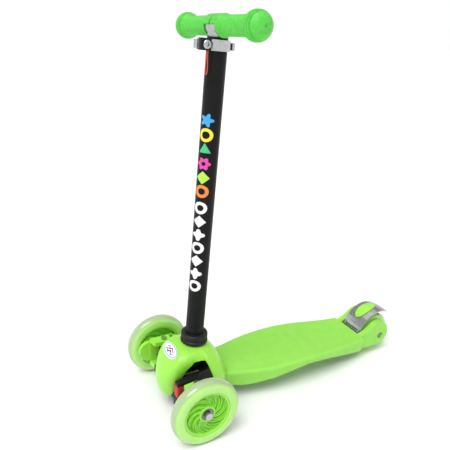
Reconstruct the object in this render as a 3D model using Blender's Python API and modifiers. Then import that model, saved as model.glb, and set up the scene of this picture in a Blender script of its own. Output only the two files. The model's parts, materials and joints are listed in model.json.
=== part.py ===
"""Three-wheeled kick scooter for a child: lean to steer, height-adjustable stem, sprung rear brake.

The frame is metres with +Z up.  The rider faces -Y and the rider's left is +X.  The origin lies on
the ground, below the middle of the whole scooter.  Sizes below are in millimetres unless noted.
"""
import math

import bmesh
import bpy
from mathutils import Matrix, Vector

MM = 0.001
GAP = 0.3                       # clearance between pieces that touch

# driving dimensions
WHEELBASE = 456.0
FRONT_Y = -219.26                # front axle line, measured from the middle of the scooter
FRONT_R = 60.0
FRONT_WIDTH = 24.0
FRONT_TRACK = 108.3             # half the distance between the front wheels' middle planes
CORE_R = 40.7
REAR_R = 40.0
REAR_WIDTH = 40.0
REAR_CORE_R = 26.0
KINGPIN_X = 74.0
LEAN_Z = 36.0                   # height of the lean pivot
ROD_Y = 16.5                    # tie rod, behind the kingpins
ROD_Z = 56.0
STEM_LEAN = math.radians(3.18)
STEM_FOOT_Y = 21.3              # where the stem axis meets the ground, behind the front axle
STEM_R = 16.0
INNER_R = 13.1
CLAMP_S = 614.0                 # distances along the stem axis, from the ground
CLAMP_H = 15.6
TUBE_TOP_S = 631.0
BAR_S = 649.0
INNER_BOTTOM_S = 352.0
EAR_Y = -23.5                   # clamp bolt, in front of the stem axis
GRIP_R = 14.0
BALL_R = 20.4
BALL_X = 107.8
BRAKE_Y = 412.0                 # brake hinge, behind the front axle
BRAKE_Z = 47.0
FENDER_R = 52.5
FENDER_Y = 459.5

COLOURS = {                     # name: (red, green, blue, roughness, metallic)
    "lime_plastic": (0.30, 0.78, 0.10, 0.35, 0.0),
    "lime_deck": (0.27, 0.60, 0.10, 0.42, 0.0),
    "clear_tyre": (0.42, 0.82, 0.25, 0.30, 0.0),
    "grip_rubber": (0.10, 0.62, 0.08, 0.55, 0.0),
    "black_plastic": (0.015, 0.015, 0.018, 0.45, 0.0),
    "black_tube": (0.012, 0.012, 0.014, 0.25, 0.0),
    "bright_steel": (0.62, 0.62, 0.64, 0.25, 1.0),
    "dark_steel": (0.20, 0.20, 0.21, 0.35, 1.0),
    "red_rubber": (0.62, 0.05, 0.04, 0.5, 0.0),
    "red_cord": (0.70, 0.10, 0.05, 0.8, 0.0),
    "white_label": (0.85, 0.87, 0.90, 0.4, 0.0),
}


def clear_scene():
    for obj in list(bpy.data.objects):
        bpy.data.objects.remove(obj, do_unlink=True)


def collection(name):
    made = bpy.data.collections.new(name)
    bpy.context.scene.collection.children.link(made)
    return made


def make_materials():
    made = {}
    for name, (red, green, blue, rough, metal) in COLOURS.items():
        mat = bpy.data.materials.new(name)
        mat.use_nodes = True
        shader = mat.node_tree.nodes["Principled BSDF"]
        shader.inputs["Base Color"].default_value = (red, green, blue, 1.0)
        shader.inputs["Roughness"].default_value = rough
        shader.inputs["Metallic"].default_value = metal
        made[name] = mat
    return made


clear_scene()
PARTS = collection("kick_scooter")
CUTTERS = collection("cutters")
MATS = make_materials()


def add(name, mesh, mat, parent=None, at=(0, 0, 0), turn=None):
    """Makes the object of one piece; `at` is in millimetres in the parent's frame."""
    obj = bpy.data.objects.new(name, mesh)
    PARTS.objects.link(obj)
    obj.parent = parent
    obj.location = Vector(at) * MM
    if turn is not None:
        obj.rotation_euler = turn
    mesh.materials.append(MATS[mat])
    if isinstance(mesh, bpy.types.Mesh):
        mesh.shade_smooth()
        mesh.set_sharp_from_angle(angle=math.radians(35))
    return obj


def axis_frame(name, at, turn=(0, 0, 0), parent=None):
    """An empty on a joint's axis."""
    empty = bpy.data.objects.new(name, None)
    PARTS.objects.link(empty)
    empty.parent = parent
    empty.location = Vector(at) * MM
    empty.rotation_euler = turn
    return empty


def mesh_from(bm, name):
    bmesh.ops.recalc_face_normals(bm, faces=bm.faces)
    mesh = bpy.data.meshes.new(name)
    bm.to_mesh(mesh)
    bm.free()
    return mesh


def box_mesh(name, low, high):
    bm = bmesh.new()
    low, high = Vector(low) * MM, Vector(high) * MM
    size = high - low
    place = Matrix.Translation((low + high) / 2) @ Matrix.Diagonal((*size, 1.0))
    bmesh.ops.create_cube(bm, size=1.0, matrix=place)
    return mesh_from(bm, name)


ALONG = {"x": Matrix.Rotation(math.pi / 2, 4, "Y"), "y": Matrix.Rotation(-math.pi / 2, 4, "X"),
         "z": Matrix.Identity(4)}


def rod_mesh(name, radius, start, end, axis="z", at=(0, 0), sides=24, top_radius=None):
    """A cylinder or cone from start to end along an axis; `at` is its place on the other two."""
    bm = bmesh.new()
    mid = (start + end) / 2
    centre = {"x": (mid, *at), "y": (at[0], mid, at[1]), "z": (*at, mid)}[axis]
    place = Matrix.Translation(Vector(centre) * MM) @ ALONG[axis]
    last = radius if top_radius is None else top_radius
    bmesh.ops.create_cone(bm, cap_ends=True, segments=sides, radius1=radius * MM,
                          radius2=last * MM, depth=(end - start) * MM, matrix=place)
    return mesh_from(bm, name)


def outline_mesh(name, points, low, high, axis="x"):
    """A flat outline pushed along an axis.  Points are (y, z), (x, z) or (x, y)."""
    bm = bmesh.new()
    rings = []
    for level in (low, high):
        ring = []
        for a, b in points:
            corner = {"x": (level, a, b), "y": (a, level, b), "z": (a, b, level)}[axis]
            ring.append(bm.verts.new(Vector(corner) * MM))
        rings.append(ring)
    count = len(points)
    for i in range(count):
        j = (i + 1) % count
        bm.faces.new((rings[0][i], rings[0][j], rings[1][j], rings[1][i]))
    bm.faces.new(rings[0])
    bm.faces.new(rings[1])
    return mesh_from(bm, name)


def turned(name, section, mat, steps=32, parent=None, at=(0, 0, 0), turn=None, ring=True):
    """A turned piece: `section` is (radius, height), down the outer side; a ring's is a loop."""
    mesh = bpy.data.meshes.new(name)
    edges = [(i, i + 1) for i in range(len(section) - 1)]
    if ring:
        edges.append((len(section) - 1, 0))
    mesh.from_pydata([(r * MM, 0, z * MM) for r, z in section], edges, [])
    obj = add(name, mesh, mat, parent, at, turn)
    screw = obj.modifiers.new("turn", "SCREW")
    screw.steps = screw.render_steps = steps
    screw.use_merge_vertices = True
    screw.merge_threshold = 0.00001
    screw.use_smooth_shade = True
    return obj


def boolean(obj, mesh, operation, matrix=None):
    """Cuts or joins with a hidden helper in the piece's own frame."""
    helper = bpy.data.objects.new("cutter_" + obj.name, mesh)
    CUTTERS.objects.link(helper)
    helper.parent = obj
    if matrix is not None:
        helper.matrix_local = matrix
    helper.hide_render = True
    helper.display_type = "WIRE"
    mod = obj.modifiers.new(operation.lower(), "BOOLEAN")
    mod.operation = operation
    mod.solver = "EXACT"
    mod.object = helper
    return obj


def cut(obj, mesh, matrix=None):
    return boolean(obj, mesh, "DIFFERENCE", matrix)


def join(obj, mesh, matrix=None):
    return boolean(obj, mesh, "UNION", matrix)


def soften(obj, width, segments=2, angle=40):
    mod = obj.modifiers.new("edges", "BEVEL")
    mod.width = width * MM
    mod.segments = segments
    mod.limit_method = "ANGLE"
    mod.angle_limit = math.radians(angle)
    mod.use_clamp_overlap = True
    return obj


def loft(name, rings, closed_ends=True):
    """A mesh through closed rings of equal length, each a list of points in millimetres."""
    bm = bmesh.new()
    made = [[bm.verts.new(Vector(p) * MM) for p in ring] for ring in rings]
    count = len(rings[0])
    for a, b in zip(made, made[1:]):
        for i in range(count):
            j = (i + 1) % count
            bm.faces.new((a[i], a[j], b[j], b[i]))
    if closed_ends:
        bm.faces.new(made[0])
        bm.faces.new(made[-1])
    return mesh_from(bm, name)


def blend(stations, at):
    """Smoothly interpolates rows of numbers whose first value is the station."""
    if at <= stations[0][0]:
        return stations[0][1:]
    for low, high in zip(stations, stations[1:]):
        if at <= high[0]:
            t = (at - low[0]) / (high[0] - low[0])
            return [a + (b - a) * t for a, b in zip(low[1:], high[1:])]
    return stations[-1][1:]


# frames of the moving pieces, each on its joint's axis
root = axis_frame("scooter_origin", (0, FRONT_Y, 0))
stem = axis_frame("stem_axis", (0, STEM_FOOT_Y, 0), (-STEM_LEAN, 0, 0), root)
handle = axis_frame("handle_slide_axis", (0, 0, BAR_S), parent=stem)
LEVER_AT = (-15.5, EAR_Y)
lever_axis = axis_frame("lever_axis", (*LEVER_AT, CLAMP_S + CLAMP_H / 2), parent=stem)
lean = axis_frame("lean_axis", (0, 0, LEAN_Z), parent=root)
rear_axis = axis_frame("rear_axle_axis", (0, WHEELBASE, REAR_R), parent=root)
brake_axis = axis_frame("brake_axis", (0, BRAKE_Y, BRAKE_Z), parent=root)


# ---------------------------------------------------------------- deck
DECK = [  # distance behind the front axle: half width, edge height, bottom height, dish
    (66, 38, 60.5, 36, 0.5), (90, 44, 63, 33, 1.0), (110, 48, 62, 29, 1.5), (130, 54, 61.5, 30, 2),
    (170, 62.5, 61, 35, 2.5), (210, 65, 61.6, 41, 3), (250, 65, 61, 45, 3), (290, 63.5, 58, 42, 3),
    (330, 58, 54.8, 33, 2.5), (370, 52, 52.2, 24, 2), (400, 48, 52, 19, 1.5),
]
SKIN = 3.2


def deck_ring(y):
    """The closed section of the hollow deck at one distance behind the front axle."""
    half, top, low, dish = blend(DECK, y)
    outer = [(0.0, top - dish), (0.5, top - 0.85 * dish), (0.82, top - 0.35 * dish), (0.93, top)]
    right = [(half * f, z) for f, z in outer]
    right += [(half - 1.2, top - 1.6), (half, top - 5.0), (half - 1.5, (top + low) / 2),
              (half - 4.0, low)]
    inner = [(half - 4.0 - SKIN, low), (half - 1.5 - SKIN, (top + low) / 2),
             (half - SKIN - 1.0, top - 6.0), (half * 0.82, top - SKIN - 0.6 * dish - 0.6),
             (half * 0.5, top - SKIN - dish), (0.0, top - SKIN - dish)]
    loop = [(x, y, z) for x, z in right + inner]
    mirrored = [(-x, y, z) for x, z in (right + inner)[::-1] if x > 0]
    return loop + mirrored


def deck_rib(name, x_low, x_high, y_low, y_high, drop):
    rings = []
    steps = max(1, round((y_high - y_low) / 60))
    for i in range(steps + 1):
        y = y_low + (y_high - y_low) * i / steps
        half, top, low, dish = blend(DECK, y)
        high = top - dish - 1.2
        base = high - drop if drop else low + 2.0
        rings.append([(x_low, y, base), (x_high, y, base), (x_high, y, high), (x_low, y, high)])
    return loft(name, rings)


EAR_IN = 27.2
EAR_OUT = 39.0
EAR_Y0 = 397.0


def ear_outline():
    """Side view of one rear ear: a low arm with a round end around the axle."""
    centre_y, centre_z, radius = 448.5, 46.5, 28.2
    points = [(EAR_Y0, 50.0), (EAR_Y0, 20.5)]
    for degrees in range(-85, 116, 20):
        a = math.radians(degrees)
        points.append((centre_y + radius * math.cos(a), centre_z + radius * math.sin(a)))
    points.append((416.0, 57.0))
    return points


def make_deck():
    ys = [66, 90, 110, 130, 150, 170, 190, 215, 250, 275, 300, 330, 350, 370, 400]
    obj = add("deck", loft("deck", [deck_ring(y) for y in ys]), "lime_deck", root)
    half, top, low, dish = blend(DECK, 400)
    wall = [(EAR_Y0 - 1, low + 0.6), (404, low + 0.6), (404, top - 2.5), (EAR_Y0 - 1, top - 2.5)]
    join(obj, outline_mesh("rear_wall", wall, -half + 5.5, half - 5.5))
    half, top, low, dish = blend(DECK, 66)
    wall = [(66.4, low + 1), (70, low + 1), (70, top - 2), (66.4, top - 2)]
    join(obj, outline_mesh("front_wall", wall, -half + 5.5, half - 5.5))
    for side in (-1, 1):
        edges = sorted((side * 20.5, side * 23.5))
        join(obj, deck_rib("long_rib", *edges, 69.0, 399.0, 16.0))
    for y in (130, 210, 290, 350):
        half = blend(DECK, y)[0] - 5.0
        join(obj, deck_rib("cross_rib", -half, half, y - 1.4, y + 1.4, 12.0))
    for side in (-1, 1):
        ear = outline_mesh("ear", ear_outline(), *sorted((side * EAR_IN, side * EAR_OUT)))
        join(obj, ear)
    cut(obj, rod_mesh("axle_hole", 4.6, -60, 60, "x", (WHEELBASE, REAR_R), 20))
    for side in (-1, 1):
        pocket = rod_mesh("axle_pocket", 7.0, *sorted((side * 34.0, side * 60.0)), "x",
                          (WHEELBASE, REAR_R), 20)
        cut(obj, pocket)
    cut(obj, rod_mesh("brake_hole", 2.9, -34, 34, "x", (BRAKE_Y, BRAKE_Z), 16))
    return obj


# ---------------------------------------------------------------- cowl
COWL = [  # angle from the nose: three control points (radius, height) after the rim
    (0, 58, 123, 90, 62, 57, 24), (14, 58, 123, 86, 70, 57, 27), (26, 58, 123, 80, 90, 55, 42),
    (36, 55, 123, 72, 104, 51, 64), (50, 46, 122, 58, 114, 47, 90), (68, 36, 121, 44, 115, 43, 106),
    (84, 31, 120, 39, 114, 42, 107), (95, 31, 120, 40, 114, 43, 106), (98, 33, 120, 47, 112, 53, 95),
    (100, 34, 120, 54, 109, 61, 82), (103, 34, 119, 60, 106, 66.5, 66), (120, 34, 118, 62, 102, 68, 66),
    (140, 32, 117, 54, 101, 60, 66), (160, 30, 117, 47, 101, 54, 66), (180, 30, 116, 44, 100, 52, 66),
]
RIM_R = 20.0
COWL_SKIN = 2.6


def cowl_point(degrees, t):
    r1, z1, r2, z2, r3, z3 = blend(COWL, degrees)
    rim_z = 124.0 - 4.0 * (degrees / 180.0)
    parts = ((1 - t) ** 3, 3 * t * (1 - t) ** 2, 3 * t * t * (1 - t), t ** 3)
    radius = parts[0] * RIM_R + parts[1] * r1 + parts[2] * r2 + parts[3] * r3
    height = parts[0] * rim_z + parts[1] * z1 + parts[2] * z2 + parts[3] * z3
    return radius, height


def make_cowl():
    """A thin shell around the foot of the stem: nose, two side arches, rear legs."""
    halves = [0, 10, 20, 28, 36, 43, 50, 59, 68, 82, 95, 98, 100, 103, 112, 122, 134, 148, 164, 180]
    angles = halves + [360 - d for d in halves[-2:0:-1]]
    rows = 6
    bm = bmesh.new()
    centre_y = 28.2
    rings = []
    for i in range(rows + 1):
        ring = []
        for degrees in angles:
            folded = degrees if degrees <= 180 else 360 - degrees
            radius, height = cowl_point(folded, i / rows)
            a = math.radians(degrees)
            ring.append(bm.verts.new(Vector((radius * math.sin(a), centre_y - radius * math.cos(a),
                                             height)) * MM))
        rings.append(ring)
    count = len(angles)
    for a, b in zip(rings, rings[1:]):
        for i in range(count):
            j = (i + 1) % count
            bm.faces.new((a[i], b[i], b[j], a[j]))
    bmesh.ops.recalc_face_normals(bm, faces=bm.faces)
    if sum(face.normal.z for face in bm.faces) < 0:
        bmesh.ops.reverse_faces(bm, faces=bm.faces)
    mesh = bpy.data.meshes.new("cowl")
    bm.to_mesh(mesh)
    bm.free()
    obj = add("cowl", mesh, "lime_plastic", root)
    shell = obj.modifiers.new("skin", "SOLIDIFY")
    shell.thickness = COWL_SKIN * MM
    shell.offset = -1.0
    return obj


BADGE_Y = -17.0


def make_badge():
    """A thin oval plate that follows the cowl's top, standing on it."""
    rows, columns = 3, 20
    lift, thick = 0.6, 0.9

    def surface(x, y, above):
        radius = math.hypot(x, 28.2 - y)
        degrees = math.degrees(math.atan2(abs(x), 28.2 - y))
        low, high = 0.0, 1.0
        for _ in range(40):
            mid = (low + high) / 2
            if cowl_point(degrees, mid)[0] < radius:
                low = mid
            else:
                high = mid
        return (x, y, cowl_point(degrees, low)[1] + above)

    bm = bmesh.new()
    layers = []
    for above in (lift, lift + thick):
        centre = bm.verts.new(Vector(surface(0, BADGE_Y, above)) * MM)
        rings = []
        for i in range(1, rows + 1):
            ring = []
            for k in range(columns):
                a = 2 * math.pi * k / columns
                x, y = 25.0 * math.cos(a) * i / rows, BADGE_Y + 8.5 * math.sin(a) * i / rows
                ring.append(bm.verts.new(Vector(surface(x, y, above)) * MM))
            rings.append(ring)
        for k in range(columns):
            j = (k + 1) % columns
            bm.faces.new((centre, rings[0][k], rings[0][j]))
            for a, b in zip(rings, rings[1:]):
                bm.faces.new((a[k], b[k], b[j], a[j]))
        layers.append(rings[-1])
    for k in range(columns):
        j = (k + 1) % columns
        bm.faces.new((layers[0][k], layers[1][k], layers[1][j], layers[0][j]))
    return add("badge_plate", mesh_from(bm, "badge_plate"), "white_label", root)


# ---------------------------------------------------------------- front frame and axle
def make_front_frame():
    """Black bracket that carries the stem, holds the lean pivot and bolts under the deck."""
    obj = add("front_frame", box_mesh("front_frame", (-26, 20.4, 26), (26, 62.5, 75)),
              "black_plastic", root)
    right = [(11, -29.5), (20, -20), (26, -3), (36, -3), (38, -24), (49.5, -24), (49.5, 14),
             (36, 22), (30, 44), (30, 61)]
    wings = right + [(-x, y) for x, y in right[::-1]]
    join(obj, outline_mesh("wing_plate", wings, 72.3, 78.0, "z"))
    join(obj, box_mesh("front_lug", (-10.5, -24.6, 29), (10.5, -19.1, 76)))
    join(obj, box_mesh("tongue", (-19.5, 59, 28.5), (19.5, 112, 34.5)))
    join(obj, rod_mesh("socket", 21.0, 76, 104, "z", sides=28),
         Matrix.Translation((0, STEM_FOOT_Y * MM, 0)) @ Matrix.Rotation(-STEM_LEAN, 4, "X"))
    cut(obj, rod_mesh("bore", STEM_R + GAP, 80, 140, "z", sides=28),
        Matrix.Translation((0, STEM_FOOT_Y * MM, 0)) @ Matrix.Rotation(-STEM_LEAN, 4, "X"))
    cut(obj, rod_mesh("pivot_hole", 4.3, -60, 40, "y", (0, LEAN_Z), 20))
    return obj


def make_lean_bolt():
    bolt = add("lean_pivot_bolt", rod_mesh("lean_pivot_bolt", 3.95, -26.0, 31.5, "y", (0, 0), 20),
               "bright_steel", lean)
    join(bolt, rod_mesh("head", 4.9, -27.2, -25.0, "y", (0, 0), 6))
    return bolt


def beam_outline():
    right = [(22, 22), (41, 29), (60.5, 34), (60.5, 46), (20, 46)]
    return right + [(-x, z) for x, z in right[::-1]]


def make_axle_beam():
    """Black cross beam that rocks on the lean pivot; its barrels hold the kingpins."""
    mesh = outline_mesh("axle_beam", [(x, z - LEAN_Z) for x, z in beam_outline()], -24.6, 20, "y")
    obj = add("axle_beam", mesh, "black_plastic", lean)
    for side in (-1, 1):
        low, high = sorted((side * 58.4, side * 62.6))
        web = box_mesh("web", (low, -8.0, 34.5 - LEAN_Z), (high, 8.0, 78.5 - LEAN_Z))
        join(obj, web)
        low, high = sorted((side * 62.0, side * KINGPIN_X))
        join(obj, box_mesh("bridge", (low, -6.5, 41.5 - LEAN_Z), (high, 6.5, 77.0 - LEAN_Z)))
        join(obj, rod_mesh("barrel", 9.0, 40.2 - LEAN_Z, 78.8 - LEAN_Z, "z",
                           (side * KINGPIN_X, 0), 20))
        cut(obj, rod_mesh("kingpin_hole", 3.3, -20, 60, "z", (side * KINGPIN_X, 0), 16))
    cut(obj, box_mesh("nose_notch", (-34, -40, -30), (34, -17.4, 30)))
    cut(obj, rod_mesh("pivot_bore", 4.3, -40, 40, "y", (0, 0), 20))
    return obj


def make_spring_block(name, side):
    """Red rubber block between the beam and the frame's wing plate."""
    low, high = sorted((side * 33.5, side * 50.0))
    obj = add(name, box_mesh(name, (low, -24.5, 46 + GAP), (high, 13.0, 72.3 - GAP)), "red_rubber",
              root)
    return soften(obj, 3.0)


def make_strap(name, side):
    """Steel strap over the wing plate, above a rubber block."""
    low, high = sorted((side * 27.0, side * 32.0))
    obj = add(name, box_mesh(name, (low, -3, 78 + GAP), (high, 24, 81.0)), "bright_steel", root)
    return soften(obj, 0.8)


def make_knuckle(side, label):
    """Green steering knuckle: a fork over the beam's barrel, with a rearward arm for the tie rod."""
    pivot = axis_frame("kingpin_axis_" + label, (side * KINGPIN_X, 0, 0), parent=root)
    low, high = sorted((side * 10.0, side * 12.0))
    body = add("knuckle_" + label, box_mesh("knuckle", (low, -24, 30), (high, 21.5, 88.4)),
               "lime_plastic", pivot)
    fork = [(side * -6.5, -20), (side * 11.0, -24), (side * 11.0, 14), (side * -4, 12), (side * -9.5, 4)]
    for base, top in ((30.0, 39.0), (80.0, 88.4)):
        join(body, outline_mesh("fork", fork, base, top, "z"))
    low, high = sorted((side * -4.6, side * 11.0))
    join(body, box_mesh("arm", (low, 12.0, ROD_Z + 3.6), (high, 21.5, ROD_Z + 9.4)))
    cut(body, rod_mesh("kingpin_bore", 3.3, 30, 90, "z", sides=16))
    cut(body, rod_mesh("axle_bore", 4.25, *sorted((side * 9.0, side * 20)), "x", (0, FRONT_R), 16))
    cut(body, rod_mesh("rod_hole", 2.3, ROD_Z, ROD_Z + 20, "z", (0, ROD_Y), 12))
    bmesh_pin = rod_mesh("kingpin", 2.95, 28.0, 92.0, "z", sides=16)
    pin = add("kingpin_" + label, bmesh_pin, "bright_steel", lean, (side * KINGPIN_X, 0, -LEAN_Z))
    join(pin, rod_mesh("cap", 5.2, 89.4, 92.6, "z", sides=16))
    plate = []
    for centre, start in ((-24, 90), (24, -90)):
        for k in range(9):
            a = math.radians(start + 180 * k / 8)
            plate.append((centre + 21 * math.cos(a), FRONT_R + 21 * math.sin(a)))
    carrier = add("wheel_carrier_" + label,
                  outline_mesh("wheel_carrier", plate, *sorted((side * 12.0, side * 20.0))),
                  "lime_plastic", pivot)
    cut(carrier, rod_mesh("axle_bore", 4.25, *sorted((side * 5, side * 30)), "x", (0, FRONT_R), 16))
    soften(carrier, 2.5, 1)
    return pivot


def make_front_axle(side, label, pivot):
    """Bolt from the knuckle through the wheel, with a round head outside."""
    inner, outer = side * 10.3, side * (FRONT_TRACK - KINGPIN_X + 11.4)
    bolt = add("front_axle_bolt_" + label,
               rod_mesh("bolt", 3.95, *sorted((inner, outer)), "x", (0, FRONT_R), 20),
               "bright_steel", pivot)
    start, end = outer - side * 1.0, outer + side * 4.4
    join(bolt, rod_mesh("head", 6.4, *sorted((start, end)), "x", (0, FRONT_R), 20))
    return bolt


# ---------------------------------------------------------------- wheels
def tyre_section(outer, inner, half_width, round_r):
    """Section of a tyre: rounded tread, from the top of its outer side to the bottom."""
    points = [(inner, half_width - 1.5)]
    for k in range(7):
        a = math.radians(90 - 180 * k / 6)
        z = (half_width - round_r) * (1 if a > 0.01 else -1 if a < -0.01 else 0)
        points.append((outer - round_r + round_r * math.cos(a), z + round_r * math.sin(a)))
    points.append((inner, -half_width + 1.5))
    return points


def core_section(outer, rim, half_width, web, hub_r, hub_half, bore):
    """Section of a wheel core: rim, thin web and a hub with a bore."""
    return [(bore, hub_half), (hub_r, hub_half), (hub_r + 1.5, web), (rim - 2, web),
            (rim, half_width), (outer, half_width), (outer, -half_width), (rim, -half_width),
            (rim - 2, -web), (hub_r + 1.5, -web), (hub_r, -hub_half), (bore, -hub_half)]


SIDEWAYS = (0, math.pi / 2, 0)


def make_front_wheel(side, label, pivot):
    axle = axis_frame("front_wheel_axis_" + label,
                      (side * (FRONT_TRACK - KINGPIN_X), 0, FRONT_R), SIDEWAYS, pivot)
    turned("front_tyre_" + label, tyre_section(FRONT_R, CORE_R + GAP, FRONT_WIDTH / 2, 11.0),
           "clear_tyre", 36, axle)
    turned("front_core_" + label, core_section(CORE_R, 37.5, 10.3, 5.5, 14.0, 9.6, 11.15),
           "lime_plastic", 24, axle)
    for name, height in (("outer", side * 5.8), ("inner", side * -5.8)):
        turned("front_bearing_%s_%s" % (name, label), bearing_section(4.2, 10.85, 3.5),
               "dark_steel", 16, axle, (0, 0, height))


def bearing_section(bore, outer, half):
    return [(bore, half), (outer, half), (outer, -half), (bore, -half)]


def make_rear_wheel():
    axle = axis_frame("rear_wheel_axis", (0, 0, 0), SIDEWAYS, rear_axis)
    turned("rear_tyre", tyre_section(REAR_R, REAR_CORE_R + GAP, REAR_WIDTH / 2, 9.0),
           "clear_tyre", 32, axle)
    turned("rear_core", core_section(REAR_CORE_R, 23.0, 18.0, 10.0, 14.0, 17.0, 11.15),
           "lime_plastic", 24, axle)
    for name, height in (("left", 12.0), ("right", -12.0)):
        turned("rear_bearing_" + name, bearing_section(4.2, 10.85, 3.5), "dark_steel", 16, axle,
               (0, 0, height))


def make_rear_axle():
    bolt = add("rear_axle_bolt", rod_mesh("rear_axle", 3.95, -33.7, 33.7, "x", sides=20),
               "dark_steel", rear_axis)
    join(bolt, rod_mesh("head", 6.0, 34.5, 38.0, "x", sides=6))
    join(bolt, rod_mesh("neck", 3.95, 33.0, 35.0, "x", sides=20))
    nut = turned("rear_axle_nut", bearing_section(4.25, 6.2, 1.8), "dark_steel", 6, rear_axis,
                 (-36.4, 0, 0), SIDEWAYS)
    for name, side in (("left", 1), ("right", -1)):
        turned("rear_spacer_" + name, bearing_section(4.25, 7.0, 4.9), "bright_steel", 20, rear_axis,
               (side * 22.0, 0, 0), SIDEWAYS)
    return bolt, nut


# ---------------------------------------------------------------- brake
def fender_ring(degrees, half, low, high):
    """A section of the brake's plate across the wheel, at one angle of its arc."""
    a = math.radians(degrees)
    ring = []
    for radius, order in ((high, (-1, -0.5, 0, 0.5, 1)), (low, (1, 0.5, 0, -0.5, -1))):
        for f in order:
            r = radius - 2.0 * (f * half / 25.0) ** 2
            ring.append((f * half, FENDER_Y - BRAKE_Y + r * math.cos(a),
                         REAR_R - BRAKE_Z + r * math.sin(a)))
    return ring


FENDER_HALF = [(42, 8.0), (46, 14.0), (54, 20.0), (70, 23.5), (100, 24.0), (150, 25.0), (169, 25.0)]


def make_brake():
    angles = [42, 46, 54, 62, 72, 84, 96, 108, 120, 132, 144, 156, 164]
    rings = [fender_ring(d, blend(FENDER_HALF, d)[0], FENDER_R - 1.8, FENDER_R) for d in angles]
    plate = add("brake_fender", loft("brake_fender", rings), "bright_steel", brake_axis)
    for side in (-1, 1):
        lug = [(-4.5, -4.5), (4.0, -4.5), (6.0, 2.0), (5.0, 12.0), (-1.0, 12.0), (-5.0, 3.0)]
        join(plate, outline_mesh("lug", lug, *sorted((side * 19.0, side * 21.6))))
        cut(plate, rod_mesh("lug_hole", 3.0, *sorted((side * 10, side * 30)), "x", sides=16))
    return plate


def make_brake_pad():
    """Green oval pad, through the fender's middle, lying on its outer face."""
    rings = []
    for k in range(11):
        u = -1 + 2 * k / 10
        degrees = 111.5 + 29.0 * u
        half = 12.0 * math.sqrt(max(0.0, 1 - u * u)) + 0.6
        rings.append(fender_ring(degrees, half, FENDER_R + GAP, FENDER_R + 2.2))
    return soften(add("brake_pad", loft("brake_pad", rings), "lime_plastic", brake_axis), 0.5, 1)


def make_brake_pin():
    pin = add("brake_pin", rod_mesh("brake_pin", 2.5, -32.0, 32.0, "x", sides=16), "bright_steel",
              brake_axis)
    return pin


def helix(name, radius, wire, turns, length, mat, parent, legs):
    """A wire coil about the X axis with two straight legs."""
    curve = bpy.data.curves.new(name, "CURVE")
    curve.dimensions = "3D"
    curve.bevel_depth = wire * MM
    curve.bevel_resolution = 1
    curve.use_fill_caps = True
    points = [legs[0]]
    per_turn = 10
    for k in range(turns * per_turn + 1):
        a = math.radians(360.0 * k / per_turn)
        x = -length / 2 + length * k / (turns * per_turn)
        points.append((x, radius * math.cos(a), radius * math.sin(a)))
    points.append(legs[1])
    spline = curve.splines.new("POLY")
    spline.points.add(len(points) - 1)
    for point, place in zip(spline.points, points):
        point.co = (*(Vector(place) * MM), 1.0)
    return add(name, curve, mat, parent)


# ---------------------------------------------------------------- stem, clamp and handlebar
def make_stem():
    collar = [(STEM_R + GAP, 142.0), (22.0, 142.0), (23.6, 140.0), (23.6, 133.5), (22.6, 132.0),
              (22.6, 130.5), (24.2, 129.0), (24.2, 125.0), (STEM_R + GAP, 125.0)]
    turned("stem_collar", collar, "black_plastic", 24, stem)
    turned("stem_tube", [(14.8, TUBE_TOP_S), (STEM_R, TUBE_TOP_S), (STEM_R, 80.6), (14.8, 80.6)],
           "black_tube", 32, stem)
    top = TUBE_TOP_S
    bushing = [(INNER_R + GAP, top + 2.4), (15.6, top + 2.4), (15.6, top + GAP),
               (14.5, top + GAP), (14.5, top - 34), (INNER_R + GAP, top - 34)]
    turned("tube_bushing", bushing, "black_plastic", 24, stem)


def make_clamp():
    """Split steel band with two ears, its bolt, nut and black side block."""
    low, high = CLAMP_S, CLAMP_S + CLAMP_H
    band = add("clamp_band", rod_mesh("clamp_band", 19.8, low, high, "z", sides=32), "bright_steel",
               stem)
    join(band, box_mesh("ears", (-7.0, -31.5, low + 1.5), (5.5, -12, high - 1.5)))
    cut(band, rod_mesh("bore", STEM_R + GAP, low - 5, high + 5, "z", sides=32))
    cut(band, box_mesh("slot", (-1.8, -40, low - 5), (1.8, -10, high + 5)))
    middle = low + CLAMP_H / 2
    cut(band, rod_mesh("bolt_hole", 3.1, -20, 20, "x", (EAR_Y, middle), 16))
    bolt = add("clamp_bolt", rod_mesh("clamp_bolt", 2.7, -8.0, 14.3, "x", (EAR_Y, middle), 16),
               "bright_steel", stem)
    block = add("clamp_block", box_mesh("clamp_block", (5.5 + GAP, -33.0, low - 0.5),
                                        (12.5, -15.5, high + 0.8)), "black_plastic", stem)
    cut(block, rod_mesh("bore", STEM_R + 4.4, low - 5, high + 5, "z", sides=32))
    cut(block, rod_mesh("bolt_hole", 3.1, -20, 20, "x", (EAR_Y, middle), 16))
    nut = turned("clamp_nut", [(3.05, 2.0), (5.2, 2.0), (6.3, 1.0), (6.3, -2.0), (3.05, -2.0)],
                 "bright_steel", 20, stem, (12.5 + GAP + 2.0, EAR_Y, middle), (0, math.pi / 2, 0))
    return band, bolt, block, nut


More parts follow.
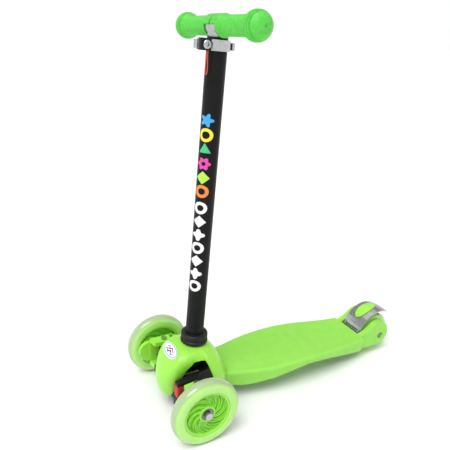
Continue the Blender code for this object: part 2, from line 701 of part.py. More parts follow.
def make_lever():
    """Quick-release lever: a cam beside the ear and a curved arm around the band's far side."""
    half = 6.3
    cam = add("clamp_lever", rod_mesh("clamp_lever", 7.0, -half, half, "z", sides=24), "bright_steel",
              lever_axis)
    arc = []
    for radius, order in ((26.5, range(0, 11)), (22.6, range(10, -1, -1))):
        for k in order:
            a = math.radians(226 - 148 * k / 10)
            r = radius + (1.2 if k > 8 else 0.0)
            arc.append((r * math.cos(a) - LEVER_AT[0], r * math.sin(a) - LEVER_AT[1]))
    join(cam, outline_mesh("arm", arc, -5.4, 5.4, "z"))
    cut(cam, rod_mesh("pin_hole", 2.3, -10, 10, "z", sides=16))
    pin = add("lever_pin", rod_mesh("lever_pin", 2.0, -7.6, 7.6, "z", sides=16), "dark_steel",
              lever_axis)
    return cam, pin


def grip_section():
    """Rubber grip along the bar, from the ball end inwards; heights run along the bar."""
    end = BALL_X + BALL_R
    points = [(0.0, end)]
    for degrees in (20, 40, 60, 80, 100, 120, 135):
        a = math.radians(degrees)
        points.append((BALL_R * math.sin(a), BALL_X + BALL_R * math.cos(a)))
    points += [(GRIP_R, BALL_X - 24.0), (GRIP_R, 24.0), (16.8, 20.5), (16.8, 2.2), (15.0, 2.2),
               (15.0, 17.0), (11.4, 17.0),
               (11.4, 112.0), (0.0, 112.0)]
    return points


def make_handlebar():
    inner = turned("height_tube", [(11.6, 29.0 - 40.4), (INNER_R, 29.0 - 40.4),
                                   (INNER_R, INNER_BOTTOM_S - BAR_S), (11.6, INNER_BOTTOM_S - BAR_S)],
                   "bright_steel", 24, handle)
    tee = add("tee_joint", rod_mesh("tee_joint", 14.6, -16.4, 16.4, "x", sides=24), "bright_steel",
              handle)
    join(tee, rod_mesh("neck", 15.4, -14.0, 0.0, "z", sides=24))
    cut(tee, rod_mesh("bar_bore", 11.1 + GAP, -40, 40, "x", sides=28))
    cut(tee, rod_mesh("tube_bore", INNER_R + GAP, -40, -11.1, "z", sides=24))
    bar = turned("cross_bar", [(9.6, 110.0), (11.05, 110.0), (11.05, -110.0), (9.6, -110.0)],
                 "bright_steel", 24, handle, turn=SIDEWAYS)
    for name, turn, low in (("grip_left", SIDEWAYS, -1.0), ("grip_right", (0, -math.pi / 2, 0), -30.0)):
        grip = turned(name, grip_section(), "grip_rubber", 24, handle, turn=turn, ring=False)
        cut(grip, box_mesh("under_tee", (low, -30, -5), (low + 31.0, 30, 17.2)))
    return inner, tee, bar


def make_lanyard():
    """Thin cord hanging as a long drop-shaped loop from the clamp's side block."""
    curve = bpy.data.curves.new("lanyard_loop", "CURVE")
    curve.dimensions = "3D"
    curve.bevel_depth = 0.7 * MM
    curve.bevel_resolution = 1
    curve.use_fill_caps = True
    top = CLAMP_S - 0.5 - GAP
    points = []
    for k in range(25):
        u = k / 24
        a = 2 * math.pi * u
        width = 3.4 * math.sin(math.pi * u) ** 2 + 0.9
        points.append((11.0, -20.5 - width * math.cos(a / 2), top - 33.0 * math.sin(math.pi * u)))
    spline = curve.splines.new("POLY")
    spline.points.add(len(points) - 1)
    for point, place in zip(spline.points, points):
        point.co = (*(Vector(place) * MM), 1.0)
    return add("lanyard_loop", curve, "red_cord", stem)


def make_tie_rod():
    """Steel rod between the knuckles' arms; its ends turn down into them."""
    left = axis_frame("tie_rod_axis", (KINGPIN_X, ROD_Y, 0), parent=root)
    span = 2 * KINGPIN_X
    rod = add("tie_rod", rod_mesh("tie_rod", 1.95, -span - 1.8, 1.8, "x", (0, ROD_Z), 12),
              "bright_steel", left)
    for x in (0.0, -span):
        join(rod, rod_mesh("end", 1.9, ROD_Z, ROD_Z + 10.6, "z", (x, 0), 12))
    return rod


def build():
    make_deck()
    make_cowl()
    make_badge()
    make_front_frame()
    make_lean_bolt()
    make_axle_beam()
    for side, label in ((1, "left"), (-1, "right")):
        make_spring_block("spring_block_" + label, side)
        make_strap("spring_strap_" + label, side)
        pivot = make_knuckle(side, label)
        make_front_axle(side, label, pivot)
        make_front_wheel(side, label, pivot)
    make_tie_rod()
    make_rear_wheel()
    make_rear_axle()
    make_brake()
    make_brake_pad()
    make_brake_pin()
    helix("brake_spring", 3.2, 0.45, 6, 12.0, "bright_steel", brake_axis,
          ((-6.0, 3.0, -6.0), (6.0, 2.8, 9.0)))
    make_stem()
    make_clamp()
    make_lever()
    make_handlebar()
    make_lanyard()


build()
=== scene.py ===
"""Studio scene of the kick scooter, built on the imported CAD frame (metres, +Z up, rider faces -Y).

Lengths in the functions are millimetres, and MM turns them into metres. What sits on the stem is
built along the stem's own axis and placed by STEM.
"""
import json
import math

import bmesh
import bpy
from mathutils import Matrix, Vector
from mathutils.bvhtree import BVHTree


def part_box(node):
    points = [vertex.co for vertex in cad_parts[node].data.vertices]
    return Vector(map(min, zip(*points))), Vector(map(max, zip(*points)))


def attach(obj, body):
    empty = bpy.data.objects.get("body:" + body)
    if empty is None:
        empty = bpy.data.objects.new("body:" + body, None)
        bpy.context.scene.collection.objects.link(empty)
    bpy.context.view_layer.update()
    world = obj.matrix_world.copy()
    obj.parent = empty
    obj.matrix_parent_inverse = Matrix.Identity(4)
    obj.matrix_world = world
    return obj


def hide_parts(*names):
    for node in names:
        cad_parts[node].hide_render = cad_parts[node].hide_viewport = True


MM = 0.001
FRONT_Y = -219.26               # front axle line
STEM_Y = 21.3                   # stem's foot behind the front axle line
STEM_LEAN = -3.18               # degrees about X, so the stem leans back
STEM = (Matrix.Translation((0, (FRONT_Y + STEM_Y) * MM, 0))
        @ Matrix.Rotation(math.radians(STEM_LEAN), 4, "X"))
BAR_S = 649.0                   # cross bar's height along the stem


# ---------------------------------------------------------------- materials
def node_of(tree, kind, **settings):
    node = tree.nodes.new(kind)
    for key, value in settings.items():
        setattr(node, key, value)
    return node


def painted_edge_shade(tree, coords, colour, start, end, edge_shade_tone):
    """Painted shade: fades a colour into a darker, greyer tone between two distances from the piece's
    own X axis, in metres. It stands in for the shading at a clear tyre's outer edge.
    """
    split = node_of(tree, "ShaderNodeSeparateXYZ")
    flat = node_of(tree, "ShaderNodeCombineXYZ")
    length = node_of(tree, "ShaderNodeVectorMath", operation="LENGTH")
    edge_shade_mask = node_of(tree, "ShaderNodeMapRange", interpolation_type="SMOOTHSTEP")
    edge_shade_mask.inputs["From Min"].default_value = start
    edge_shade_mask.inputs["From Max"].default_value = end
    outer = node_of(tree, "ShaderNodeMix", data_type="RGBA")
    outer.inputs[7].default_value = (*edge_shade_tone, 1)
    tree.links.new(coords.outputs["Object"], split.inputs[0])
    tree.links.new(split.outputs["Y"], flat.inputs["Y"])
    tree.links.new(split.outputs["Z"], flat.inputs["Z"])
    tree.links.new(flat.outputs[0], length.inputs[0])
    tree.links.new(length.outputs["Value"], edge_shade_mask.inputs["Value"])
    tree.links.new(edge_shade_mask.outputs["Result"], outer.inputs[0])
    tree.links.new(colour, outer.inputs[6])
    return outer.outputs[2]


def cell_lines(tree, mapping, normal, cells):
    """Adds fine moulded lines between cells to a normal."""
    moulded = node_of(tree, "ShaderNodeTexVoronoi", feature="DISTANCE_TO_EDGE")
    moulded.inputs["Scale"].default_value = cells
    edge = node_of(tree, "ShaderNodeMapRange")
    edge.inputs["From Max"].default_value = 0.06
    lines = node_of(tree, "ShaderNodeBump")
    lines.inputs["Strength"].default_value = 0.5
    lines.inputs["Distance"].default_value = 0.0005
    tree.links.new(mapping.outputs["Vector"], moulded.inputs["Vector"])
    tree.links.new(moulded.outputs["Distance"], edge.inputs["Value"])
    tree.links.new(edge.outputs["Result"], lines.inputs["Height"])
    tree.links.new(normal, lines.inputs["Normal"])
    return lines.outputs["Normal"]


def material(name, dark, light, rough=(0.3, 0.45), metallic=0.0, scale=60.0, bump=0.05, grain=600.0,
             stretch=(1, 1, 1), transmission=0.0, glow=0.0, coat=0.0, shine=0.5, ring=None, cells=0.0):
    """A surface whose colour, roughness and relief all vary with procedural noise."""
    mat = bpy.data.materials.new(name)
    mat.use_nodes = True
    tree = mat.node_tree
    tree.nodes.clear()
    out = node_of(tree, "ShaderNodeOutputMaterial")
    shader = node_of(tree, "ShaderNodeBsdfPrincipled")
    tree.links.new(shader.outputs["BSDF"], out.inputs["Surface"])
    coords = node_of(tree, "ShaderNodeTexCoord")
    mapping = node_of(tree, "ShaderNodeMapping")
    mapping.inputs["Scale"].default_value = stretch
    tree.links.new(coords.outputs["Object"], mapping.inputs["Vector"])
    cloud = node_of(tree, "ShaderNodeTexNoise")
    cloud.inputs["Scale"].default_value = scale
    cloud.inputs["Detail"].default_value = 4.0
    fine = node_of(tree, "ShaderNodeTexNoise")
    fine.inputs["Scale"].default_value = grain
    fine.inputs["Detail"].default_value = 3.0
    for noise in (cloud, fine):
        tree.links.new(mapping.outputs["Vector"], noise.inputs["Vector"])
    mix = node_of(tree, "ShaderNodeMix", data_type="RGBA")
    mix.inputs[6].default_value = (*dark, 1)
    mix.inputs[7].default_value = (*light, 1)
    tree.links.new(cloud.outputs["Fac"], mix.inputs[0])
    colour = mix.outputs[2]
    # ring adds painted shade: a darker, greyer band near the outer edge
    if ring:
        colour = painted_edge_shade(tree, coords, colour, *ring)
    tree.links.new(colour, shader.inputs["Base Color"])
    spread = node_of(tree, "ShaderNodeMapRange")
    spread.inputs["To Min"].default_value = rough[0]
    spread.inputs["To Max"].default_value = rough[1]
    tree.links.new(fine.outputs["Fac"], spread.inputs["Value"])
    tree.links.new(spread.outputs["Result"], shader.inputs["Roughness"])
    relief = node_of(tree, "ShaderNodeBump")
    relief.inputs["Strength"].default_value = bump
    relief.inputs["Distance"].default_value = 0.0006
    tree.links.new(fine.outputs["Fac"], relief.inputs["Height"])
    normal = relief.outputs["Normal"]
    if cells:
        normal = cell_lines(tree, mapping, normal, cells)
    tree.links.new(normal, shader.inputs["Normal"])
    shader.inputs["Metallic"].default_value = metallic
    shader.inputs["Specular IOR Level"].default_value = shine
    shader.inputs["Transmission Weight"].default_value = transmission
    shader.inputs["Coat Weight"].default_value = coat
    if glow:
        shader.inputs["Subsurface Weight"].default_value = glow
        shader.inputs["Subsurface Radius"].default_value = (0.004, 0.008, 0.003)
        shader.inputs["Subsurface Scale"].default_value = 1.0
    return mat


FINISH = {  # one for each material slot of the record: dark and light colour, roughness range, the rest
    "lime_plastic": material("lime_plastic", (0.29, 0.74, 0.055), (0.34, 0.80, 0.075), (0.26, 0.36),
                             glow=0.1, coat=0.2),
    "lime_deck": material("lime_deck", (0.25, 0.66, 0.06), (0.31, 0.74, 0.085), (0.38, 0.52),
                          bump=0.16, grain=380.0, glow=0.08, cells=22.0),
    "clear_tyre": material("clear_tyre", (0.42, 0.84, 0.17), (0.53, 0.90, 0.26), (0.16, 0.28),
                           transmission=0.1, glow=0.2, coat=0.3,
                           # painted shade: a greyer band from 53.5 mm radius outwards, for the
                           # darkening at the clear tyre's edge
                           ring=(0.0535, 0.0585, (0.42, 0.56, 0.30))),
    "grip_rubber": material("grip_rubber", (0.055, 0.46, 0.035), (0.13, 0.70, 0.08), (0.42, 0.58),
                            scale=190.0, bump=0.6, grain=420.0, glow=0.06),
    "black_plastic": material("black_plastic", (0.008, 0.008, 0.009), (0.016, 0.016, 0.018),
                              (0.45, 0.6), bump=0.12, shine=0.3),
    "black_tube": material("black_tube", (0.006, 0.006, 0.007), (0.011, 0.011, 0.012), (0.3, 0.42),
                           bump=0.04, shine=0.12),
    "bright_steel": material("bright_steel", (0.42, 0.42, 0.44), (0.58, 0.58, 0.60), (0.2, 0.34),
                             metallic=1.0, bump=0.05, stretch=(1, 1, 6)),
    "dark_steel": material("dark_steel", (0.16, 0.16, 0.17), (0.26, 0.26, 0.27), (0.3, 0.45),
                           metallic=1.0),
    "red_rubber": material("red_rubber", (0.42, 0.018, 0.012), (0.52, 0.035, 0.024), (0.4, 0.55),
                           bump=0.1),
    "red_cord": material("red_cord", (0.60, 0.06, 0.03), (0.78, 0.14, 0.07), (0.7, 0.9), bump=0.5,
                         grain=2500.0),
    "white_label": material("white_label", (0.80, 0.82, 0.85), (0.88, 0.90, 0.92), (0.3, 0.42)),
}


def print_ink(name, colour):
    dark = tuple(c * 0.88 for c in colour)
    return material(name, dark, colour, (0.3, 0.42), scale=90.0, bump=0.03)


# ---------------------------------------------------------------- building pieces
def linked(name, data):
    obj = bpy.data.objects.new(name, data)
    bpy.context.scene.collection.objects.link(obj)
    return obj


def finish_mesh(obj, angle=35):
    """Smooth shading, with edges sharper than the angle left crisp."""
    for face in obj.data.polygons:
        face.use_smooth = True
    obj.data.set_sharp_from_angle(angle=math.radians(angle))


def soften(obj, width, angle):
    """Rounds the edges sharper than the angle."""
    soft = obj.modifiers.new("edges", "BEVEL")
    soft.width = width * MM
    soft.segments = 2
    soft.limit_method = "ANGLE"
    soft.angle_limit = math.radians(angle)


def piece(name, bm, slot, body, place=None, stands_for=(), ink=None):
    """A new piece that rides on a CAD body. Ink is a finish that belongs to no slot."""
    bmesh.ops.recalc_face_normals(bm, faces=bm.faces)
    mesh = bpy.data.meshes.new(name)
    bm.to_mesh(mesh)
    bm.free()
    obj = linked(name, mesh)
    mesh.materials.append(ink or FINISH[slot])
    finish_mesh(obj)
    if place is not None:
        obj.matrix_world = place
    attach(obj, body)
    if stands_for:
        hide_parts(*stands_for)
    return obj


def join_rows(bm, rows, rows_close, points_close):
    """Joins neighbouring rows of vertices with quads."""
    count = len(rows[0])
    for k in range(len(rows) if rows_close else len(rows) - 1):
        a, b = rows[k], rows[(k + 1) % len(rows)]
        for i in range(count if points_close else count - 1):
            j = (i + 1) % count
            bm.faces.new((a[i], a[j], b[j], b[i]))


def spin(bm, section, steps, ring=True):
    """Turns (radius, x) points about the local X axis."""
    rows = []
    for k in range(steps):
        a = 2 * math.pi * k / steps
        c, s = math.cos(a), math.sin(a)
        rows.append([bm.verts.new(Vector((x, radius * c, radius * s)) * MM) for radius, x in section])
    join_rows(bm, rows, True, ring)
    if not ring:
        bmesh.ops.remove_doubles(bm, verts=bm.verts, dist=1e-7)


def at(x, y, z):
    return Matrix.Translation(Vector((x, y + FRONT_Y, z)) * MM)


def rounded(points, radius, steps=3):
    """Rounds every corner of a closed section."""
    made = []
    count = len(points)
    for i in range(count):
        here = Vector(points[i])
        before, after = Vector(points[i - 1]), Vector(points[(i + 1) % count])
        r = min(radius, 0.45 * (before - here).length, 0.45 * (after - here).length)
        start = here + (before - here).normalized() * r
        end = here + (after - here).normalized() * r
        for k in range(steps + 1):
            t = k / steps
            made.append(tuple((1 - t) ** 2 * start + 2 * t * (1 - t) * here + t * t * end))
    return made


# ---------------------------------------------------------------- wheels
BORE_R = 11.15                  # where the bearings sit


def tyre(name, node, body, place, outer, inner, half, round_r):
    """A tyre with rounded shoulders and a chamfered bead."""
    section = [(inner, half - 1.5), (inner + 1.2, half - 0.2)]
    for k in range(17):
        a = math.radians(90 - 180 * k / 16)
        shift = (half - round_r) * (1 if a > 0.01 else -1 if a < -0.01 else 0)
        section.append((outer - round_r + round_r * math.cos(a), shift + round_r * math.sin(a)))
    section += [(inner + 1.2, -half + 0.2), (inner, -half + 1.5)]
    bm = bmesh.new()
    spin(bm, section, 120)
    piece(name, bm, "clear_tyre", body, place, (node,))


def blade_wall(bm, side, start, hub_r, rim, web, height):
    """One curved wall on a side of the wheel's web, from the hub to the rim."""
    rings = []
    for k in range(11):
        t = k / 10
        radius = hub_r + 0.5 + (rim - hub_r - 0.8) * t
        a = start + side * 0.95 * t ** 1.25
        centre = Vector((math.cos(a), math.sin(a)))
        across = Vector((-centre.y, centre.x)) * (0.95 + 0.6 * t)
        ring = []
        for sign, top in ((-1, web - 0.6), (-1, height), (1, height), (1, web - 0.6)):
            p = centre * radius + across * sign * (0.6 if top == height else 1.0)
            ring.append(bm.verts.new(Vector((side * top, p.x, p.y)) * MM))
        rings.append(ring)
    join_rows(bm, rings, False, True)
    bm.faces.new(rings[0])
    bm.faces.new(rings[-1])


def core(name, node, body, place, outer, rim, half, web, hub_r, hub_half, blades=0):
    """A wheel core: hub, web and rim, with pairs of curved blades on both sides."""
    section = [(BORE_R, hub_half), (hub_r, hub_half), (hub_r + 1.5, web), (rim - 2, web), (rim, half),
               (outer, half), (outer, -half), (rim, -half), (rim - 2, -web), (hub_r + 1.5, -web),
               (hub_r, -hub_half), (BORE_R, -hub_half)]
    bm = bmesh.new()
    spin(bm, rounded(section, 0.9), 96)
    piece(name, bm, "lime_plastic", body, place, (node,))
    if not blades:
        return
    bm = bmesh.new()
    for side in (-1, 1):
        for blade in range(blades):
            for lag, height in ((0.0, half - 1.0), (0.27, half - 2.0)):
                start = 2 * math.pi * (blade + lag) / blades
                blade_wall(bm, side, start, hub_r, rim, web, height)
    piece(name + "_blades", bm, "lime_plastic", body, place)


def wheels():
    for label, side in (("left", 1), ("right", -1)):
        body = "front_wheel_" + label
        place = at(side * 108.3, 0, 60)
        tyre("tyre_front_" + label, "front_tyre_" + label, body, place,
             outer=60.0, inner=41.0, half=12.0, round_r=11.0)
        core("core_front_" + label, "front_core_" + label, body, place,
             outer=40.9, rim=37.5, half=10.3, web=2.6, hub_r=14.0, hub_half=9.6, blades=10)
    place = at(0, 456, 40)
    tyre("tyre_rear", "rear_tyre", "rear_wheel", place, outer=40.0, inner=26.3, half=20.0, round_r=9.0)
    core("core_rear", "rear_core", "rear_wheel", place,
         outer=26.2, rim=23.0, half=18.0, web=10.0, hub_r=14.0, hub_half=17.0)


# ---------------------------------------------------------------- handlebar
BALL_X, BALL_R = 107.8, 20.4    # the ball end's centre and radius
PALM_R = 14.0
PALM_X = (26.0, BALL_X - 17.0)  # the ribbed length of the palm
COLLAR_R, COLLAR_X = 16.8, 17.0  # the grip's inner collar, which meets the half sleeve
GROOVES = (64, 76, 88, 100, 112)  # degrees round the ball
RIBS = 60


def grip_section():
    """Half outline of a grip, from the ball's domed end in to the collar."""
    end = BALL_X + BALL_R
    section = [(0.0, end - 1.3), (1.3, end - 1.3), (1.7, end - 0.1)]
    for degrees in range(8, 136, 4):
        a = math.radians(degrees)
        radius = BALL_R - (1.9 if degrees in GROOVES else 0.0)
        section.append((radius * math.sin(a), BALL_X + radius * math.cos(a)))
    low, high = PALM_X
    for k in range(1, RIBS + 1):
        section.append((PALM_R + (0.45 if k % 3 == 0 else -0.25), high - k * (high - low) / RIBS))
    section += [(PALM_R, 24.0), (15.2, 22.8), (16.4, 21.4), (COLLAR_R, 20.4), (COLLAR_R, 17.6),
                (16.2, COLLAR_X), (11.4, COLLAR_X)]
    return section


def half_sleeve(bm, side):
    """The half of the collar that runs on over the tee."""
    section = ((COLLAR_R, COLLAR_X), (COLLAR_R, 3.0), (16.0, 2.2), (15.0, 2.2), (15.0, COLLAR_X))
    rings = []
    for k in range(33):
        a = math.radians(3.8 + 172.4 * k / 32)
        rings.append([bm.verts.new(Vector((side * x, r * math.cos(a), r * math.sin(a))) * MM)
                      for r, x in section])
    join_rows(bm, rings, False, True)
    bm.faces.new(rings[0])
    bm.faces.new(rings[-1])


def grips():
    """Soft grips: ribbed palm area, grooves at the ball's neck and a domed end."""
    place = STEM @ Matrix.Translation((0, 0, BAR_S * MM))
    for label, side in (("left", 1), ("right", -1)):
        bm = bmesh.new()
        spin(bm, [(radius, side * x) for radius, x in grip_section()], 72, ring=False)
        half_sleeve(bm, side)
        piece("grip_body_" + label, bm, "grip_rubber", "handlebar", place, ("grip_" + label,))


# ---------------------------------------------------------------- printed shapes on the tube
PRINT_R = 16.12                 # just outside the stem tube
PRINT_FACING = math.radians(38)  # round the tube, from the front to the rider's left
PRINT_STRETCH = 0.86            # shapes are a little wider than they are high


def radial_shape(bm, centre_s, reach, outer, inner):
    """A flat shape given by two functions of angle, wrapped on the tube at a height along it."""
    segments, rings = 72, 5
    rows = []
    for k in range(segments):
        a = 2 * math.pi * k / segments
        row = []
        for i in range(rings + 1):
            r = reach * (inner(a) + (outer(a) - inner(a)) * i / rings)
            across, along = r * math.cos(a), r * math.sin(a) * PRINT_STRETCH
            turn = PRINT_FACING + across / PRINT_R
            row.append(bm.verts.new(Vector((PRINT_R * math.sin(turn), -PRINT_R * math.cos(turn),
                                            centre_s + along)) * MM))
        rows.append(row)
    join_rows(bm, rows, True, False)


def petals(count, depth):
    return lambda a: 1 - depth * (0.5 - 0.5 * math.cos(count * a))


def polygon(count, turn=0.0):
    step = 2 * math.pi / count
    return lambda a: math.cos(step / 2) / math.cos(((a + turn) % step) - step / 2)


def level(value):
    return lambda a: value


def decals():
    """Generic coloured and white shapes down the tube's front-left side."""
    whole, filled = level(1.0), level(0.02)
    coloured = (  # name, ink, outline, hole
        ("blue", (0.05, 0.38, 0.80), petals(5, 0.45), filled),
        ("yellow", (0.90, 0.75, 0.05), whole, level(0.55)),
        ("green", (0.05, 0.55, 0.22), polygon(3, 0.5), filled),
        ("magenta", (0.80, 0.05, 0.42), petals(6, 0.3), level(0.3)),
        ("lime", (0.45, 0.80, 0.08), polygon(4), filled),
        ("orange", (0.90, 0.25, 0.03), whole, level(0.5)),
    )
    for k, (name, colour, form, hole) in enumerate(coloured):
        bm = bmesh.new()
        radial_shape(bm, 514.0 - 22.3 * k, 12.2, form, hole)
        piece("print_" + name, bm, "white_label", "deck_frame", STEM,
              ink=print_ink("ink_" + name, colour))
    plain = ((whole, level(0.5)), (polygon(4), filled), (petals(4, 0.4), filled))
    bm = bmesh.new()
    for k in range(7):
        radial_shape(bm, 375.0 - 23.0 * k, 11.8, *plain[k % 3])
    piece("print_white", bm, "white_label", "deck_frame", STEM,
          ink=print_ink("ink_white", (0.88, 0.88, 0.88)))


# ---------------------------------------------------------------- cowl
COWL_Y = 28.2                   # the shell's middle behind the front axle line
COWL_TOP = (20.0, 124.0)        # radius and height of the edge round the stem
COWL = [  # angle from the nose, then three control points (radius, height) below the top edge
    (0, 58, 123, 90, 62, 57, 24), (14, 58, 123, 86, 70, 57, 27), (26, 58, 123, 80, 90, 55, 42),
    (36, 55, 123, 72, 104, 51, 64), (50, 46, 122, 58, 114, 47, 90), (68, 36, 121, 44, 115, 43, 106),
    (84, 31, 120, 39, 114, 42, 107), (95, 31, 120, 40, 114, 43, 106), (98, 33, 120, 47, 112, 53, 95),
    (100, 34, 120, 54, 109, 61, 82), (103, 34, 119, 60, 106, 66.5, 66),
    (120, 34, 118, 62, 102, 68, 66), (140, 32, 117, 54, 101, 60, 66), (160, 30, 117, 47, 101, 54, 66),
    (180, 30, 116, 44, 100, 52, 66),
]


def cowl_row(degrees):
    degrees = min(180.0, abs(degrees))
    for low, high in zip(COWL, COWL[1:]):
        if degrees <= high[0]:
            t = (degrees - low[0]) / (high[0] - low[0])
            return [a + (b - a) * t for a, b in zip(low[1:], high[1:])]
    return COWL[-1][1:]


def smooth_cowl_row(degrees):
    """Averages the rows near an angle, over less where the arch's rear edge turns sharply."""
    reach = 2.0 if degrees < 88 or degrees > 112 else 0.8
    near = [cowl_row(degrees + reach * step) for step in (-1, -0.5, 0, 0.5, 1)]
    return [sum(row[c] for row in near) / 5 for c in range(6)]


def cubic(t, a, b, c, d):
    return (1 - t) ** 3 * a + 3 * t * (1 - t) ** 2 * b + 3 * t * t * (1 - t) * c + t ** 3 * d


def cowl():
    """The smooth shell round the stem's foot, with its two side arches."""
    rows, columns, skin = 20, 180, 1.2
    top_radius, top_height = COWL_TOP
    profiles = []
    for k in range(columns):
        degrees = 360.0 * k / columns
        folded = degrees if degrees <= 180 else 360 - degrees
        profiles.append((math.radians(degrees), top_height - folded / 45.0, smooth_cowl_row(folded)))
    bm = bmesh.new()
    layers = []
    for inset in (0.0, skin):
        rings = []
        for i in range(rows + 1):
            t = i / rows
            down = inset * (1 - 0.75 * t)
            inward = inset * min(1.0, 1.4 * t)
            ring = []
            for a, top, (r1, z1, r2, z2, r3, z3) in profiles:
                radius = cubic(t, top_radius, r1, r2, r3) - inward
                height = cubic(t, top, z1, z2, z3)
                point = (radius * math.sin(a), COWL_Y - radius * math.cos(a) + FRONT_Y, height - down)
                ring.append(bm.verts.new(Vector(point) * MM))
            rings.append(ring)
        layers.append(rings)
    join_rows(bm, layers[0] + layers[1][::-1], True, True)
    soften(piece("cowl_shell", bm, "lime_plastic", "deck_frame", None, ("cowl",)), 0.7, 50)


def badge_print(cad):
    """A generic wavy mark and rim printed on the oval plate, following its own top face."""
    tree = BVHTree.FromPolygons([v.co for v in cad.data.vertices],
                                [p.vertices for p in cad.data.polygons])
    low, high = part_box("badge_plate")
    centre = (low + high) / 2
    above, lift = 0.3, 0.00015  # metres: where the rays start, and the ink's height over the plate

    def on_plate(x, y):
        x, y = centre.x + x * MM, centre.y + y * MM
        hit = tree.ray_cast(Vector((x, y, above)), Vector((0, 0, -1)))[0]
        return Vector((x, y, hit.z + lift))

    def strip(name, pairs, closed, ink):
        bm = bmesh.new()
        rows = [[bm.verts.new(on_plate(*a)), bm.verts.new(on_plate(*b))] for a, b in pairs]
        join_rows(bm, rows, closed, False)
        piece(name, bm, "white_label", "deck_frame", ink=ink)

    rim = []
    for k in range(60):
        a = 2 * math.pi * k / 60
        c, s = math.cos(a), math.sin(a)
        rim.append(((23.5 * c, 7.4 * s), (22.3 * c, 6.5 * s)))
    strip("badge_rim", rim, True, print_ink("ink_rim", (0.05, 0.30, 0.55)))
    waves = ((-2.4, (0.02, 0.04, 0.30)), (1.6, (0.60, 0.05, 0.10)))  # shift across the plate, ink
    for number, (shift, colour) in enumerate(waves):
        wave = []
        for k in range(41):
            x = -14.0 + 28.0 * k / 40
            y = shift + 1.4 * math.sin(x * 0.55)
            half = 1.15 * math.sin(math.pi * (0.08 + 0.84 * k / 40))
            wave.append(((x, y - half), (x, y + half)))
        strip("badge_wave_%d" % number, wave, False, print_ink("ink_wave_%d" % number, colour))


def lanyard():
    """The same loop of thin cord as in the CAD, as a smooth curve."""
    curve = bpy.data.curves.new("lanyard", "CURVE")
    curve.dimensions = "3D"
    curve.bevel_depth = 0.7 * MM
    curve.bevel_resolution = 4
    curve.use_fill_caps = True
    top, drop = 613.2, 33.0     # along the stem: where both ends leave the clamp, and the loop's length
    route = []
    for k in range(49):
        u = k / 48
        across, along = math.cos(math.pi * u), math.sin(math.pi * u)
        width = 3.4 * along ** 2 + 0.9
        local = Vector((11.0, -20.5 - width * across, top - drop * along))
        route.append(STEM @ (local * MM))
    spline = curve.splines.new("POLY")
    spline.points.add(len(route) - 1)
    for point, place in zip(spline.points, route):
        point.co = (*place, 1.0)
    obj = linked("lanyard", curve)
    curve.materials.append(FINISH["red_cord"])
    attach(obj, "deck_frame")
    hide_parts("lanyard_loop")


# ---------------------------------------------------------------- stage
SKY = (  # height from horizon to zenith, grey: bright low down and overhead, darker between
    (0.0, 1.0), (0.22, 1.0), (0.34, 0.38), (0.70, 0.42), (0.90, 1.1),
)


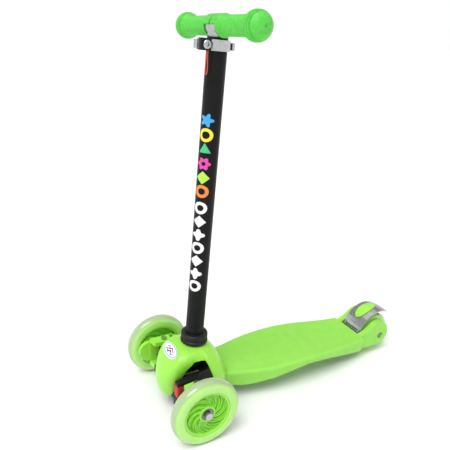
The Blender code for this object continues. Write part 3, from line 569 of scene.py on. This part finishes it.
def stage():
    """A wide pale floor, a grey sky and one soft sun."""
    bm = bmesh.new()
    size = 60.0                 # metres from the middle to each side
    corners = ((-size, -size, 0), (size, -size, 0), (size, size, 0), (-size, size, 0))
    bm.faces.new([bm.verts.new(corner) for corner in corners])
    mesh = bpy.data.meshes.new("floor")
    bm.to_mesh(mesh)
    bm.free()
    floor = linked("floor", mesh)
    mesh.materials.append(material("floor_paint", (0.93, 0.93, 0.93), (0.96, 0.96, 0.96), (0.75, 0.85),
                                   scale=3.0, bump=0.02))
    world = bpy.data.worlds.new("studio")
    bpy.context.scene.world = world
    world.use_nodes = True
    tree = world.node_tree
    coords = node_of(tree, "ShaderNodeTexCoord")
    split = node_of(tree, "ShaderNodeSeparateXYZ")
    ramp = node_of(tree, "ShaderNodeValToRGB")
    stops = ramp.color_ramp.elements
    for place, grey in SKY:
        stops.new(place).color = (grey, grey, grey, 1)
    stops.remove(stops[0])      # the ramp's own two stops
    stops.remove(stops[-1])
    tree.links.new(coords.outputs["Generated"], split.inputs[0])
    tree.links.new(split.outputs["Z"], ramp.inputs["Fac"])
    tree.links.new(ramp.outputs["Color"], tree.nodes["Background"].inputs["Color"])
    sun = bpy.data.lights.new("sun", "SUN")
    sun.energy = 2.1
    sun.angle = math.radians(38)
    towards_sun = Vector((0.30, -0.55, 1.0))
    linked("sun", sun).rotation_euler = towards_sun.to_track_quat("Z", "Y").to_euler()
    bpy.context.scene.view_settings.view_transform = "Standard"


def camera():
    data = bpy.data.cameras.new("camera")
    data.lens = 40.14
    data.sensor_width = 36.0
    data.dof.use_dof = False
    eye = linked("camera", data)
    place = (0.6954, -0.52266, 0.6330)
    right, up, back = (0.4711, 0.8811, 0.0401), (-0.3272, 0.1324, 0.9357), (0.8191, -0.4539, 0.3506)
    eye.matrix_world = Matrix((*zip(right, up, back, place), (0, 0, 0, 1)))
    bpy.context.scene.camera = eye


# ---------------------------------------------------------------- CAD nodes that stay in view
BEVEL = {"clamp_band": 0.8, "clamp_block": 0.8, "front_frame": 0.8, "axle_beam": 0.8,
         "knuckle_left": 0.8, "knuckle_right": 0.8, "tee_joint": 0.5, "clamp_lever": 0.7,
         "brake_fender": 0.4, "deck": 0.7}


def dress_cad(rows, nodes):
    """Gives every CAD node its finish and smooth shading, and softens the edges of some."""
    for row in rows:
        name = row["node"]
        node = nodes[name]
        node.data.materials.clear()
        node.data.materials.append(FINISH[row["material_slot"]])
        finish_mesh(node, 38)
        if name in BEVEL:
            soften(node, BEVEL[name], 40)


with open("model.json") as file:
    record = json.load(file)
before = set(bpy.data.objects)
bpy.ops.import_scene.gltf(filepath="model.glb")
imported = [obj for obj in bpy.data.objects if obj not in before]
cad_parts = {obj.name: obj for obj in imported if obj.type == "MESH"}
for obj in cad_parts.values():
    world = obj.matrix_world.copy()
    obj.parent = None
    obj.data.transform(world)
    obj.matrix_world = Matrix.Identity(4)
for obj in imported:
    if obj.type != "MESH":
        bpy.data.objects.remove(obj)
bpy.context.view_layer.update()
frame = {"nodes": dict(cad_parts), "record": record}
dress_cad(frame["record"]["subparts"], frame["nodes"])
wheels()
grips()
decals()
cowl()
badge_print(frame["nodes"]["badge_plate"])
lanyard()
stage()
camera()
